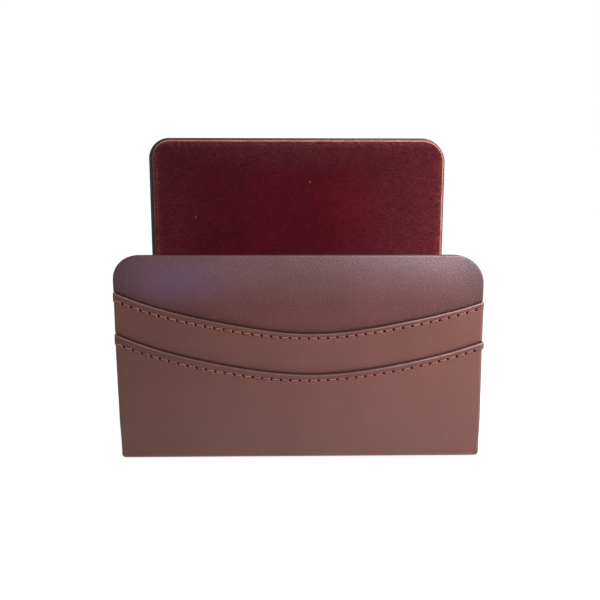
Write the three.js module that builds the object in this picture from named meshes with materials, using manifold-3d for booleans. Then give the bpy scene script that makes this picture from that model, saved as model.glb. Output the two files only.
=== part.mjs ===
// A leather card and letter holder for a desk: a tall back panel and a low front panel stand on a base,
// leather outside and velvet inside, with two curved card pockets across the front.
// Millimetres, +Z up, front facing -Y, origin in the middle of the face that it rests on.
import * as THREE from "three";
import { mergeVertices } from "three/addons/utils/BufferGeometryUtils.js";
import Module from "manifold-3d";

const wasm = await Module();
wasm.setup();

// ---- Driving dimensions ----
const WIDTH = 165; // over the leather on both side edges
const DEPTH = 80.5; // outer face of the front leather to outer face of the back leather
const FRONT_HEIGHT = 94.5;
const BACK_HEIGHT = 154.5;
const CORNER_LEFT = 10.5; // radius of a panel's top left corner, seen from the front
const CORNER_RIGHT = 12; // the right corners are rounded a little more

const LEATHER = 1;
const BOARD = 3;
const EDGE_ROUND = 1; // how far the leather rounds over a panel's edge
const TURN_IN = 12; // width of leather folded over onto a panel's inner face
const ANGLE_LEG = 15; // width of each leg of the strips that hold the boards square
const CARD = 0.8; // stiff card behind the velvet
const VELVET = 0.8;
const CARD_INSET = 1.1; // panel edge to lining card
const VELVET_INSET = 1.9; // panel edge to velvet
const PAD = 1; // felt under the base
const PAD_INSET = 5;
const GLUE = 0.05; // clearance round a glued piece
const BUTT = 0.3; // clearance where two pieces of leather meet edge to edge
const BEYOND = 5; // how far a cut runs on past the piece it cuts

const POCKET_LEATHER = 0.95;
const POCKET_BEND = 0.5; // inner radius of a pocket's fold round the panel's side
const SIDE_GAP = 0.6; // room behind a pocket at the sides, and the extra room in the middle
const MIDDLE_GAP = 0.6;
const HEM_DEPTH = 2.6;
const HEM_EXTRA = 0.35; // extra thickness where the mouth's edge is folded double
const LIP = 0.5; // height over which the folded edge rounds off
const MOUTH_RADIUS = 214; // both mouths are arcs of this radius
const MOUTH_LOW_X = 5; // and dip lowest a little right of the middle
const UPPER_MOUTH = 59.4; // height of the lowest point of each mouth
const LOWER_MOUTH = 41.2;
const UPPER_FLOOR = 20.5; // a card in the upper pocket stands on the glued strip that ends here
const UPPER_BOTTOM = 13;
const TURN_UNDER = 16; // the lower pocket's leather folds this far under the base
const FOOT_CORNER = 1.7; // radius of its bottom corners, seen from the front

const STITCH_PITCH = 4.235;
const STITCHES = 38; // the whole stitches on the front, between the bends round the sides
const SEAM_SWING = -0.025; // angle of a row's middle round the mouths' centre, in radians
const SEAM_BELOW_MOUTH = 2.3;
const HOLE_LONG = 1.5; // a needle hole, along the seam
const HOLE_WIDE = 0.8;
const HOLE_REACH = 8; // how far in front of the front leather the needle holes are cut
const THREAD_RADIUS = 0.22;
const THREAD_PROUD = 0.27; // thread's middle above the leather, between holes
const THREAD_DIP = 0.15; // part of a stitch over which the thread comes up out of its hole

// ---- Places worked out from them ----
const PANEL = LEATHER + BOARD + LEATHER; // a panel's thickness at its edge
const HALF = WIDTH / 2;
const FRONT_FACE = -DEPTH / 2;
const FRONT_INNER = FRONT_FACE + PANEL;
const BACK_FACE = DEPTH / 2;
const BACK_INNER = BACK_FACE - PANEL;
const UNDERSIDE = PAD; // lowest leather
const BOARD_BOTTOM = UNDERSIDE + LEATHER;
const BASE_BOARD_TOP = BOARD_BOTTOM + BOARD;
const BASE_TOP = BASE_BOARD_TOP + LEATHER; // top of the layer the base lining is glued to
const LINING = CARD + VELVET;
const BOARD_HALF = HALF - LEATHER;
const INFILL_HALF = HALF - TURN_IN;
const UNDER_END = FRONT_FACE + TURN_UNDER;

// ---- Solids ----
function toSolid(geometry) {
  const bare = geometry.index ? geometry.toNonIndexed() : geometry.clone();
  bare.deleteAttribute("normal");
  bare.deleteAttribute("uv");
  const merged = mergeVertices(bare, 1e-4);
  const mesh = new wasm.Mesh({
    numProp: 3,
    vertProperties: merged.attributes.position.array,
    triVerts: new Uint32Array(merged.index.array),
  });
  return new wasm.Manifold(mesh);
}

function toGeometry(solid) {
  const mesh = solid.getMesh();
  const geometry = new THREE.BufferGeometry();
  geometry.setAttribute("position", new THREE.BufferAttribute(mesh.vertProperties, 3));
  geometry.setIndex(new THREE.BufferAttribute(mesh.triVerts, 1));
  const flat = geometry.toNonIndexed();
  flat.computeVertexNormals();
  return flat;
}

const without = (solid, ...cutters) => cutters.reduce((left, cutter) => left.subtract(cutter), solid);

// A box between two corners.
function block([x0, y0, z0], [x1, y1, z1]) {
  const box = new THREE.BoxGeometry(x1 - x0, y1 - y0, z1 - z0);
  return toSolid(box.translate((x0 + x1) / 2, (y0 + y1) / 2, (z0 + z1) / 2));
}

// A shape drawn in X and Z, given depth from y0 to y1, with its edges rounded if round is given.
function slab(shape, y0, y1, round = 0) {
  const geometry = new THREE.ExtrudeGeometry(shape, {
    depth: y1 - y0 - 2 * round,
    curveSegments: 6,
    bevelEnabled: round > 0,
    bevelThickness: round,
    bevelSize: round,
    bevelOffset: -round,
    bevelSegments: 2,
  });
  const upright = new THREE.Matrix4().set(1, 0, 0, 0, 0, 0, -1, y1 - round, 0, 1, 0, 0, 0, 0, 0, 1);
  return toSolid(geometry.applyMatrix4(upright));
}

// A panel's outline, inset all round except at the bottom, which is at its own height.
function panelOutline(height, inset, bottom) {
  const half = HALF - inset;
  const top = height - inset;
  const left = Math.max(CORNER_LEFT - inset, 1);
  const right = Math.max(CORNER_RIGHT - inset, 1);
  const shape = new THREE.Shape();
  shape.moveTo(-half, bottom);
  shape.lineTo(half, bottom);
  shape.lineTo(half, top - right);
  shape.absarc(half - right, top - right, right, 0, Math.PI / 2);
  shape.lineTo(left - half, top);
  shape.absarc(left - half, top - left, left, Math.PI / 2, Math.PI);
  shape.closePath();
  return shape;
}

// ---- Pocket curves ----
// Height of a mouth at x. Beyond the sides it stays at the height it has there.
function mouthHeight(low, x) {
  const across = THREE.MathUtils.clamp(x, -HALF, HALF) - MOUTH_LOW_X;
  return low + MOUTH_RADIUS - Math.sqrt(MOUTH_RADIUS ** 2 - across ** 2);
}

// Room for cards behind a pocket, widest in the middle.
const gapAt = (x) => SIDE_GAP + MIDDLE_GAP * (1 - (x / HALF) ** 2);

// How the upper pocket's inner face stands off the front leather, at height z.
function upperStandOff(x, z) {
  return GLUE + (gapAt(x) - GLUE) * THREE.MathUtils.smoothstep(z, UPPER_BOTTOM, UPPER_FLOOR);
}

// The lower pocket lies over the upper one, and comes in to the board at the bottom.
function lowerStandOff(x, z) {
  const over = POCKET_LEATHER + 2 * gapAt(x);
  return GLUE + (over - GLUE) * THREE.MathUtils.smoothstep(z, UNDERSIDE, UPPER_FLOOR);
}

// Half of a pocket's cross-section, from the inner face's turn-in to the middle: each station has the
// inner surface's point, and the direction in which the leather's thickness goes.
function halfSection(standOff, z) {
  const bendX = HALF - POCKET_LEATHER - POCKET_BEND;
  const rearY = FRONT_INNER - LEATHER - POCKET_BEND;
  const frontY = FRONT_FACE - standOff(bendX, z) + POCKET_BEND;
  const bend = (y, angle) => {
    const out = new THREE.Vector2(Math.cos(angle), Math.sin(angle));
    return { at: new THREE.Vector2(bendX, y).addScaledVector(out, POCKET_BEND), out };
  };
  const foldEnd = new THREE.Vector2(HALF - TURN_IN, rearY + POCKET_BEND);
  const stations = [{ at: foldEnd, out: new THREE.Vector2(0, 1) }];
  for (const turn of [1, 0.5, 0]) stations.push(bend(rearY, (turn * Math.PI) / 2));
  for (const turn of [0, -0.5, -1]) stations.push(bend(frontY, (turn * Math.PI) / 2));
  const columns = 12;
  for (let i = 0; i <= columns; i++) {
    const x = (bendX - FLAT_START) * (1 - i / columns);
    stations.push({ at: new THREE.Vector2(x, FRONT_FACE - standOff(x, z)), out: new THREE.Vector2(0, -1) });
  }
  return stations;
}
const WRAP_STATIONS = 7; // stations that lie on the turn-in and the two bends
const FLAT_START = 0.6; // from the front bend to the first station on the flat

function wholeSection(standOff, z) {
  const right = halfSection(standOff, z);
  const mirrored = right.map(({ at, out }) => ({
    at: new THREE.Vector2(-at.x, at.y),
    out: new THREE.Vector2(-out.x, out.y),
  }));
  return [...mirrored, ...right.slice(0, -1).reverse()];
}

// The hem from the mouth down: distance below the mouth, and the leather's extra thickness there.
const HEM_PROFILE = [
  [0, -HEM_EXTRA],
  [LIP, HEM_EXTRA],
  [HEM_DEPTH, HEM_EXTRA],
  [HEM_DEPTH + LIP, 0],
];
const LOWER_ROWS = [0.6, 0.4, 0.22, 0.1, 0]; // rows below the hem, as parts of the height left there

// A pocket: one sheet of leather that runs across the front and folds round both side edges onto the
// inner face. It is a box whose columns follow the cross-section and whose rows follow the mouth.
function pocketSheet(low, standOff, bottomAt) {
  const lastRow = HEM_PROFILE.length + LOWER_ROWS.length - 1;
  const flat = wholeSection(standOff, UPPER_FLOOR);
  const lastColumn = flat.length - 1;
  const box = new THREE.BoxGeometry(2, 2, 2, lastColumn, 1, lastRow);
  const position = box.attributes.position;
  for (let i = 0; i < position.count; i++) {
    const column = Math.round(((position.getX(i) + 1) / 2) * lastColumn);
    const row = Math.round(((1 - position.getZ(i)) / 2) * lastRow);
    const outside = position.getY(i) < 0;
    const onWrap = Math.min(column, lastColumn - column) < WRAP_STATIONS;
    const across = onWrap ? Math.sign(flat[column].at.x) * HALF : flat[column].at.x;
    const mouth = mouthHeight(low, across);
    let z;
    let extra = 0;
    if (row < HEM_PROFILE.length) {
      const [below, hemExtra] = HEM_PROFILE[row];
      z = mouth - below;
      extra = hemExtra;
    } else {
      const bottom = bottomAt(onWrap, across);
      z = THREE.MathUtils.lerp(bottom, mouth - HEM_DEPTH - LIP, LOWER_ROWS[row - HEM_PROFILE.length]);
    }
    const { at, out } = wholeSection(standOff, z)[column];
    const folded = out.y > 0;
    const thick = outside ? POCKET_LEATHER + (folded ? Math.min(extra, 0) : extra) : 0;
    position.setXYZ(i, at.x + out.x * thick, at.y + out.y * thick, z);
  }
  return toSolid(box);
}

// Middles of a seam's needle holes, evenly spaced along the mouth.
function needleHoles(low) {
  const swing = STITCH_PITCH / (MOUTH_RADIUS + SEAM_BELOW_MOUTH);
  return Array.from({ length: STITCHES + 1 }, (_, i) => {
    const angle = SEAM_SWING + (i - STITCHES / 2) * swing;
    const radius = MOUTH_RADIUS + SEAM_BELOW_MOUTH;
    const x = MOUTH_LOW_X + radius * Math.sin(angle);
    const z = low + MOUTH_RADIUS - radius * Math.cos(angle);
    return { x, z, angle };
  });
}

// The needle holes of a seam as cutters, right through the hem but clear of the fold on the inner face.
function holeCutters(low) {
  return needleHoles(low).map(({ x, z, angle }) => {
    const hole = new THREE.BoxGeometry(HOLE_LONG, HOLE_REACH, HOLE_WIDE);
    hole.rotateY(-angle);
    return toSolid(hole.translate(x, FRONT_FACE - HOLE_REACH / 2, z));
  });
}

// One thread of a lockstitch: it runs along one side of the hem and dips into each hole to the middle.
// Its parameter runs in equal steps between the ends, the shoulders and the middle of every stitch.
const STITCH_STATIONS = [0, THREAD_DIP, 0.5, 1 - THREAD_DIP, 1];
const STITCH_STEPS = STITCH_STATIONS.length - 1;

class SeamPath extends THREE.Curve {
  constructor(low, standOff, inFront) {
    super();
    this.holes = needleHoles(low);
    this.standOff = standOff;
    this.away = inFront ? -1 : 1;
  }

  getUtoTmapping(u) {
    return u;
  }

  getPoint(t, target = new THREE.Vector3()) {
    const step = t * STITCHES * STITCH_STEPS;
    const whole = Math.min(Math.floor(step), STITCHES * STITCH_STEPS - 1);
    const stitch = Math.floor(whole / STITCH_STEPS);
    const station = whole % STITCH_STEPS;
    const part = THREE.MathUtils.lerp(STITCH_STATIONS[station], STITCH_STATIONS[station + 1], step - whole);
    const from = this.holes[stitch];
    const to = this.holes[stitch + 1];
    const x = THREE.MathUtils.lerp(from.x, to.x, part);
    const z = THREE.MathUtils.lerp(from.z, to.z, part);
    const thick = POCKET_LEATHER + HEM_EXTRA;
    const middle = FRONT_FACE - this.standOff(x, z) - thick / 2;
    const inHole = Math.max(1 - Math.min(part, 1 - part) / THREAD_DIP, 0);
    const off = THREE.MathUtils.lerp(thick / 2 + THREAD_PROUD, THREAD_RADIUS + GLUE, inHole);
    return target.set(x, middle + this.away * off, z);
  }
}

function thread(low, standOff, inFront) {
  const sides = 4;
  const section = new THREE.Shape();
  for (let i = 0; i < sides; i++) {
    const angle = (i / sides) * 2 * Math.PI;
    const x = THREAD_RADIUS * Math.cos(angle);
    const y = THREAD_RADIUS * Math.sin(angle);
    if (i === 0) section.moveTo(x, y);
    else section.lineTo(x, y);
  }
  section.closePath();
  const extrudePath = new SeamPath(low, standOff, inFront);
  return toSolid(new THREE.ExtrudeGeometry(section, { steps: STITCHES * STITCH_STEPS, extrudePath }));
}

// ---- Pieces ----
// A block at one side of the holder, given by two distances from the middle plane.
function sideBlock(side, [x0, y0, z0], [x1, y1, z1]) {
  const [near, far] = [side * x0, side * x1];
  return block([Math.min(near, far), y0, z0], [Math.max(near, far), y1, z1]);
}

// The leather on the front board: it covers the outer face, and above the upper pocket it folds over the
// edges onto the inner face. Lower down the pockets are what folds over the sides.
function frontFacing() {
  const shell = slab(panelOutline(FRONT_HEIGHT, 0, BOARD_BOTTOM), FRONT_FACE, FRONT_INNER, EDGE_ROUND);
  const boardFront = FRONT_FACE + LEATHER;
  const boardRear = FRONT_INNER - LEATHER;
  const boardRoom = slab(panelOutline(FRONT_HEIGHT, LEATHER, -BEYOND), boardFront, boardRear);
  const infillRoom = slab(panelOutline(FRONT_HEIGHT, TURN_IN, -BEYOND), boardRear - LEATHER, boardRear + BEYOND);
  const sides = [-1, 1].flatMap((side) => {
    const outer = [HALF + BEYOND, boardRear + BEYOND, mouthHeight(UPPER_MOUTH, side * HALF) + BUTT];
    const fold = sideBlock(side, [0, boardFront, 0], outer);
    const edge = sideBlock(side, [BOARD_HALF - BUTT, FRONT_FACE - BEYOND, 0], outer);
    return [fold, edge];
  });
  const foot = block([-HALF, FRONT_FACE - BEYOND, 0], [HALF, FRONT_INNER, BOARD_BOTTOM + EDGE_ROUND]);
  return without(shell, boardRoom, infillRoom, ...sides, foot);
}

// The leather over the back panel and the base, with its edges folded over onto the inner faces.
function bodyCover() {
  const back = slab(panelOutline(BACK_HEIGHT, 0, UNDERSIDE), BACK_INNER, BACK_FACE, EDGE_ROUND);
  const baseFront = FRONT_INNER - LEATHER + GLUE;
  const base = block([-HALF, baseFront, UNDERSIDE], [HALF, BACK_FACE - 2 * EDGE_ROUND, BASE_TOP]);
  const boardRooms = [
    slab(panelOutline(BACK_HEIGHT, LEATHER, BOARD_BOTTOM), BACK_INNER + LEATHER, BACK_FACE - LEATHER),
    block([-BOARD_HALF, FRONT_FACE, BOARD_BOTTOM], [BOARD_HALF, BACK_INNER + LEATHER, BASE_BOARD_TOP]),
  ];
  const infillRooms = [
    slab(panelOutline(BACK_HEIGHT, TURN_IN, BASE_BOARD_TOP), BACK_INNER - LEATHER, BACK_INNER + 2 * LEATHER),
    block([-INFILL_HALF, FRONT_FACE, BOARD_BOTTOM], [INFILL_HALF, BACK_INNER + LEATHER, BASE_TOP + BEYOND]),
  ];
  const pocketRoom = block([-HALF, FRONT_FACE, 0], [HALF, UNDER_END + BUTT, BOARD_BOTTOM]);
  return without(back.add(base), ...boardRooms, ...infillRooms, pocketRoom);
}

// The upper pocket's folds at the sides stop above the lower pocket's, and its front runs on down behind.
function upperPocket() {
  const bottomAt = (onWrap, x) => (onWrap ? mouthHeight(LOWER_MOUTH, x) + BUTT : UPPER_BOTTOM);
  return without(pocketSheet(UPPER_MOUTH, upperStandOff, bottomAt), ...holeCutters(UPPER_MOUTH));
}

// The lower pocket covers the foot of the front panel and folds under the base.
function lowerPocket() {
  const sheet = pocketSheet(LOWER_MOUTH, lowerStandOff, () => UNDERSIDE);
  const reach = HALF + BEYOND;
  const baseRoom = block([-reach, FRONT_INNER - LEATHER - 2 * GLUE, 0], [reach, DEPTH, BASE_TOP + 4 * GLUE]);
  const foldHalf = HALF - LEATHER;
  const foldFront = FRONT_FACE - POCKET_LEATHER / 2;
  const fold = block([-foldHalf, foldFront, UNDERSIDE], [foldHalf, UNDER_END, BOARD_BOTTOM - GLUE]);
  const whole = without(sheet, baseRoom, ...holeCutters(LOWER_MOUTH)).add(fold);
  return whole.intersect(slab(footOutline(), FRONT_FACE - BEYOND - HOLE_REACH, UNDER_END + BEYOND));
}

// Room for everything of the lower pocket but the corners that are rounded off at its bottom.
function footOutline() {
  const reach = HALF + BEYOND;
  const arcX = HALF - FOOT_CORNER;
  const arcZ = UNDERSIDE + FOOT_CORNER;
  const shape = new THREE.Shape();
  shape.moveTo(-reach, FRONT_HEIGHT);
  shape.lineTo(-reach, arcZ);
  shape.lineTo(-HALF, arcZ);
  shape.absarc(-arcX, arcZ, FOOT_CORNER, Math.PI, 1.5 * Math.PI);
  shape.absarc(arcX, arcZ, FOOT_CORNER, 1.5 * Math.PI, 2 * Math.PI);
  shape.lineTo(reach, arcZ);
  shape.lineTo(reach, FRONT_HEIGHT);
  shape.closePath();
  return shape;
}

// The boards' edges are eased so that the leather bends round them.
function panelBoard(height, y) {
  const outline = panelOutline(height, LEATHER + GLUE, BOARD_BOTTOM + GLUE);
  return slab(outline, y + GLUE, y + BOARD - GLUE, POCKET_BEND);
}

function baseBoard() {
  const end = BACK_INNER + LEATHER;
  const half = BOARD_HALF - GLUE;
  return block([-half, -end, BOARD_BOTTOM + GLUE], [half, end, BASE_BOARD_TOP - GLUE]);
}

// A folded strip in the inside corner between the base and a panel. side is -1 for the front, 1 for the back.
function cornerAngle(side) {
  const half = INFILL_HALF - GLUE;
  const wall = side * (BACK_INNER + LEATHER - GLUE);
  const face = wall - side * (LEATHER - GLUE);
  const end = wall - side * ANGLE_LEG;
  const [low, top] = [BASE_BOARD_TOP + GLUE, BASE_TOP - GLUE];
  const flat = block([-half, Math.min(wall, end), low], [half, Math.max(wall, end), top]);
  const upright = block([-half, Math.min(wall, face), low], [half, Math.max(wall, face), low + ANGLE_LEG]);
  return flat.add(upright);
}

// The card that fills a panel's inner face between the turned-in leather.
function panelInfill(height, y) {
  const bottom = BASE_BOARD_TOP + ANGLE_LEG + 4 * GLUE;
  return slab(panelOutline(height, TURN_IN + GLUE, bottom), y + GLUE, y + LEATHER - GLUE);
}

function baseInfill() {
  const end = BACK_INNER + LEATHER - ANGLE_LEG - 4 * GLUE;
  const half = INFILL_HALF - GLUE;
  return block([-half, -end, BASE_BOARD_TOP + GLUE], [half, end, BASE_TOP - GLUE]);
}

// A layer of a panel's lining. from is its distance off the panel's inner face; side as for cornerAngle.
function panelLining(height, inset, from, thick, side) {
  const near = side * (BACK_INNER - from);
  const far = side * (BACK_INNER - from - thick);
  return slab(panelOutline(height, inset, BASE_TOP + GLUE), Math.min(near, far), Math.max(near, far));
}

function baseLining(inset, from, thick) {
  const half = HALF - inset;
  const end = BACK_INNER - LINING - GLUE;
  return block([-half, -end, BASE_TOP + GLUE + from], [half, end, BASE_TOP + GLUE + from + thick]);
}

function basePad() {
  const half = HALF - PAD_INSET;
  const end = BACK_FACE - PAD_INSET;
  return block([-half, -end, 0], [half, end, PAD - GLUE]);
}

// ---- Materials ----
const finish = (color, roughness) => new THREE.MeshStandardMaterial({ color, roughness, metalness: 0 });
const facingLeather = finish("#6f5051", 0.45);
const pocketLeather = finish("#7b574e", 0.42);
const threadFinish = finish("#b0563f", 0.7);
const velvetFinish = finish("#4c101a", 0.95);
const liningEdge = finish("#b97a62", 0.8);
const board = finish("#9a8f80", 0.9);
const felt = finish("#2f2222", 1);

// ---- Assembly ----
const holder = new THREE.Group();

function place(name, solid, material) {
  const mesh = new THREE.Mesh(toGeometry(solid), material);
  mesh.name = name;
  holder.add(mesh);
}

place("front_board", panelBoard(FRONT_HEIGHT, FRONT_FACE + LEATHER), board);
place("back_board", panelBoard(BACK_HEIGHT, BACK_INNER + LEATHER), board);
place("base_board", baseBoard(), board);
place("front_corner_angle", cornerAngle(-1), board);
place("back_corner_angle", cornerAngle(1), board);
place("front_infill_card", panelInfill(FRONT_HEIGHT, FRONT_INNER - LEATHER), board);
place("back_infill_card", panelInfill(BACK_HEIGHT, BACK_INNER), board);
place("base_infill_card", baseInfill(), board);

place("front_facing", frontFacing(), facingLeather);
place("body_cover", bodyCover(), facingLeather);
place("upper_card_pocket", upperPocket(), pocketLeather);
place("lower_card_pocket", lowerPocket(), pocketLeather);

place("upper_needle_thread", thread(UPPER_MOUTH, upperStandOff, true), threadFinish);
place("upper_bobbin_thread", thread(UPPER_MOUTH, upperStandOff, false), threadFinish);
place("lower_needle_thread", thread(LOWER_MOUTH, lowerStandOff, true), threadFinish);
place("lower_bobbin_thread", thread(LOWER_MOUTH, lowerStandOff, false), threadFinish);

place("front_lining_card", panelLining(FRONT_HEIGHT, CARD_INSET, GLUE, CARD - GLUE, -1), liningEdge);
place("back_lining_card", panelLining(BACK_HEIGHT, CARD_INSET, GLUE, CARD - GLUE, 1), liningEdge);
place("base_lining_card", baseLining(CARD_INSET, 0, CARD - GLUE), liningEdge);
place("front_velvet", panelLining(FRONT_HEIGHT, VELVET_INSET, CARD + GLUE, VELVET - GLUE, -1), velvetFinish);
place("back_velvet", panelLining(BACK_HEIGHT, VELVET_INSET, CARD + GLUE, VELVET - GLUE, 1), velvetFinish);
place("base_velvet", baseLining(VELVET_INSET, CARD, VELVET - GLUE), velvetFinish);
place("base_pad", basePad(), felt);

export default holder;
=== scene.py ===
"""Looks of the leather card and letter holder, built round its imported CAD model.

Shapes are worked out in millimetres, in the CAD's frame: X to the right seen from the front, the front
facing -Y, Z up. make_piece turns them into metres.
"""
import math
import random
from dataclasses import dataclass, replace

import bmesh
import bpy
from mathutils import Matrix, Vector, noise


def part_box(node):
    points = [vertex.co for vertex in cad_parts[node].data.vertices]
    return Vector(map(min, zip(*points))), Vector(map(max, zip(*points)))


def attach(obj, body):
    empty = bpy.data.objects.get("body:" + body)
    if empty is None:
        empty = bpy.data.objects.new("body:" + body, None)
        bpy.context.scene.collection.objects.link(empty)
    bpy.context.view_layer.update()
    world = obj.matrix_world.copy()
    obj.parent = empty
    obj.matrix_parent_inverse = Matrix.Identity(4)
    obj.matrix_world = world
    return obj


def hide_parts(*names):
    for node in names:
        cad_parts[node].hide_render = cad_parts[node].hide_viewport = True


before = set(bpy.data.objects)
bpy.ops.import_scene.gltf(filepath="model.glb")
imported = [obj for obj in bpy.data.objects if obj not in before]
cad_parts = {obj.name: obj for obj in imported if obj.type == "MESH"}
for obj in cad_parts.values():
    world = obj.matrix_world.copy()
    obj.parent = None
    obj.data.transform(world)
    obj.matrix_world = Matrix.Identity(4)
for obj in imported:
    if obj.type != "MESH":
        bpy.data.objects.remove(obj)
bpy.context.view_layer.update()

MM = 0.001
CLOSE = 1e-6  # two values in mm that differ by less are the same
WELD = 2e-3  # two points of a piece that are closer are made one


def box_mm(node):
    low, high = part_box(node)
    return [v / MM for v in low], [v / MM for v in high]


# ---- Sizes taken from the CAD nodes ----
facing_low, facing_high = box_mm("front_facing")
cover_low, cover_high = box_mm("body_cover")
upper_low, upper_high = box_mm("upper_card_pocket")
_, lower_high = box_mm("lower_card_pocket")

HALF = facing_high[0]
FRONT_FACE = facing_low[1]
FRONT_INNER = facing_high[1]
FRONT_FOOT = facing_low[2]
FRONT_TOP = facing_high[2]
BACK_FACE = cover_high[1]
BACK_TOP = cover_high[2]
UNDERSIDE = cover_low[2]
PANEL = FRONT_INNER - FRONT_FACE
BACK_INNER = BACK_FACE - PANEL
BASE_TOP = UNDERSIDE + PANEL

# ---- Sizes the CAD model is driven by ----
LEATHER = 0.95  # thickness of the pockets' leather; here the panels' is as thick
GLUE = 0.05  # clearance round a glued piece
BUTT = 0.3  # clearance where two pieces of leather meet edge to edge
POCKET_BEND = 0.5  # inner radius of a pocket's fold round the panel's side
HEM_EXTRA = 0.35  # extra thickness of a hem, where the leather is folded double
SIDE_GAP = 0.6  # room behind a pocket at the sides
MOUTH_RADIUS = 214
MOUTH_LOW_X = 5  # the mouths dip lowest a little right of the middle
UPPER_FLOOR = 20.5  # above this height the pockets' leather isn't glued down
STITCH_PITCH = 4.235
SEAM_SWING = -0.025  # angle of a row's middle round the mouths' centre, in radians

# ---- Sizes that differ from the CAD's, as measured in the photo ----
FRONT_CORNERS = (10.8, 13.5)  # radii of the panels' top corners, left and right
BACK_CORNERS = (11.4, 13.6)
STITCHES = 40  # the first and the last one go round the bends at the sides
HOLE_CIRCLE = 216  # radius of the arc that the needle holes are spaced along

BEND_X = HALF - LEATHER - POCKET_BEND
BEND_ARC = (LEATHER + POCKET_BEND) * math.pi / 2
SIDE_RUN = 3.5  # nominal width of a pocket's strip round the panel's side


def rise(x, radius=MOUTH_RADIUS):
    """How far an arc round the mouths' centre has risen from its lowest point, at x."""
    across = max(-HALF, min(HALF, x)) - MOUTH_LOW_X
    return radius - math.sqrt(radius * radius - across * across)


MIDDLE_GAP = FRONT_FACE - upper_low[1] - LEATHER - HEM_EXTRA


# ---- Small tools ----
def lerp(a, b, t):
    return a + (b - a) * t


def smoothstep(x, low, high):
    t = max(0.0, min(1.0, (x - low) / (high - low)))
    return t * t * (3 - 2 * t)


def bump(x, middle, width):
    """1 at the middle, falling to nothing over about twice the width."""
    return math.exp(-(((x - middle) / width) ** 2))


def spread(a, b, count):
    return [lerp(a, b, i / count) for i in range(count + 1)]


def wobble(x, y, z, size):
    """Smooth noise between about -1 and 1 whose features are size mm across."""
    return noise.noise(Vector((x / size, y / size, z / size)))


def grid_faces(rows, columns, start=0):
    faces = []
    for r in range(rows - 1):
        for c in range(columns - 1):
            a = start + r * columns + c
            faces.append((a, a + 1, a + columns + 1, a + columns))
    return faces


def skin(outer, inner, faces, marks):
    """A closed sheet between two surfaces whose points pair off. The faces index the outer one."""
    count = len(outer)
    edges = set()
    for face in faces:
        edges.update(zip(face, face[1:] + face[:1]))
    quads = list(faces)
    quads += [tuple(i + count for i in reversed(face)) for face in faces]
    quads += [(b, a, a + count, b + count) for a, b in edges if (b, a) not in edges]
    both = {key: list(values) * 2 for key, values in marks.items()}
    return list(outer) + list(inner), quads, both


def make_piece(name, node, shape, material, sharp=50):
    """A visible piece that stands in for a CAD node. shape is its points, its faces and the marks that its
    material reads."""
    points, faces, marks = shape
    mesh = bpy.data.meshes.new(name)
    mesh.from_pydata([(x * MM, y * MM, z * MM) for x, y, z in points], [], faces)
    for key, values in marks.items():
        layer = mesh.attributes.new(key, "FLOAT", "POINT")
        layer.data.foreach_set("value", values)
    edit = bmesh.new()
    edit.from_mesh(mesh)
    bmesh.ops.remove_doubles(edit, verts=edit.verts, dist=WELD * MM)
    bmesh.ops.recalc_face_normals(edit, faces=edit.faces)
    edit.to_mesh(mesh)
    edit.free()
    mesh.shade_smooth()
    mesh.set_sharp_from_angle(angle=math.radians(sharp))
    mesh.materials.append(material)
    piece = bpy.data.objects.new(name, mesh)
    bpy.context.scene.collection.objects.link(piece)
    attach(piece, "root")
    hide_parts(node)


# ---- What the two pockets have in common ----
WAVE_LENGTH = 85  # the hand-cut mouths stray from the arc in a wave, low at the sides and in the middle
SEAM_DIP_X = 8  # where the seams come closest to the mouths
SEAM_DIP_WIDTH = 28


def gap_behind(x):
    return lerp(MIDDLE_GAP, SIDE_GAP, (x / HALF) ** 2)


@dataclass
class Pocket:
    """A pocket's curves. Its mouth is an arc with a wave in it."""

    low: float  # height of the arc's lowest point
    wave: float  # how far the wave strays from the arc
    tilt: float  # how much the mouth falls with every mm to the right
    seam: float  # the seam's distance below the mouth, in the middle
    drift: float  # how much that distance shrinks with every mm to the right
    dip: float  # how much closer to the mouth the seam comes at SEAM_DIP_X
    bottom: float  # height at which the leather is glued down
    layers: int  # how many gaps are behind it
    wider: float  # how much wider than the panel it is on each side
    flare: float  # how much thicker its hem gets where it goes round the right side

    def below(self, q, distance):
        """Height of the point at q that lies the given distance below the mouth."""
        across = max(-HALF, min(HALF, q)) - MOUTH_LOW_X
        swell = self.wave * math.cos(across * 2 * math.pi / WAVE_LENGTH) + self.tilt * across
        return self.low - distance + rise(q, MOUTH_RADIUS + distance) - swell

    def seam_at(self, q):
        """Distance of the seam below the mouth, at q."""
        x = max(-HALF, min(HALF, q))
        return self.seam - self.drift * x - self.dip * bump(x, SEAM_DIP_X, SEAM_DIP_WIDTH)

    def stand_off(self, x, z):
        """How far the leather's inner side stands off the front panel."""
        room = self.layers * gap_behind(x) + (self.layers - 1) * LEATHER
        return lerp(GLUE, room, smoothstep(z, self.bottom, UPPER_FLOOR))


UPPER_RAISED = 0.25  # the upper mouth sits this much higher than the CAD's

upper = Pocket(
    low=upper_high[2] - rise(-HALF) + UPPER_RAISED, wave=0.6, tilt=0.003, seam=2.4, drift=0.006,
    dip=0.65, bottom=upper_low[2], layers=1, wider=0.3, flare=-0.25,
)
lower = Pocket(
    low=lower_high[2] - rise(-HALF), wave=0.4, tilt=0, seam=2.75, drift=0.0085,
    dip=0.45, bottom=UNDERSIDE, layers=2, wider=-0.15, flare=0.4,
)


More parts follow.
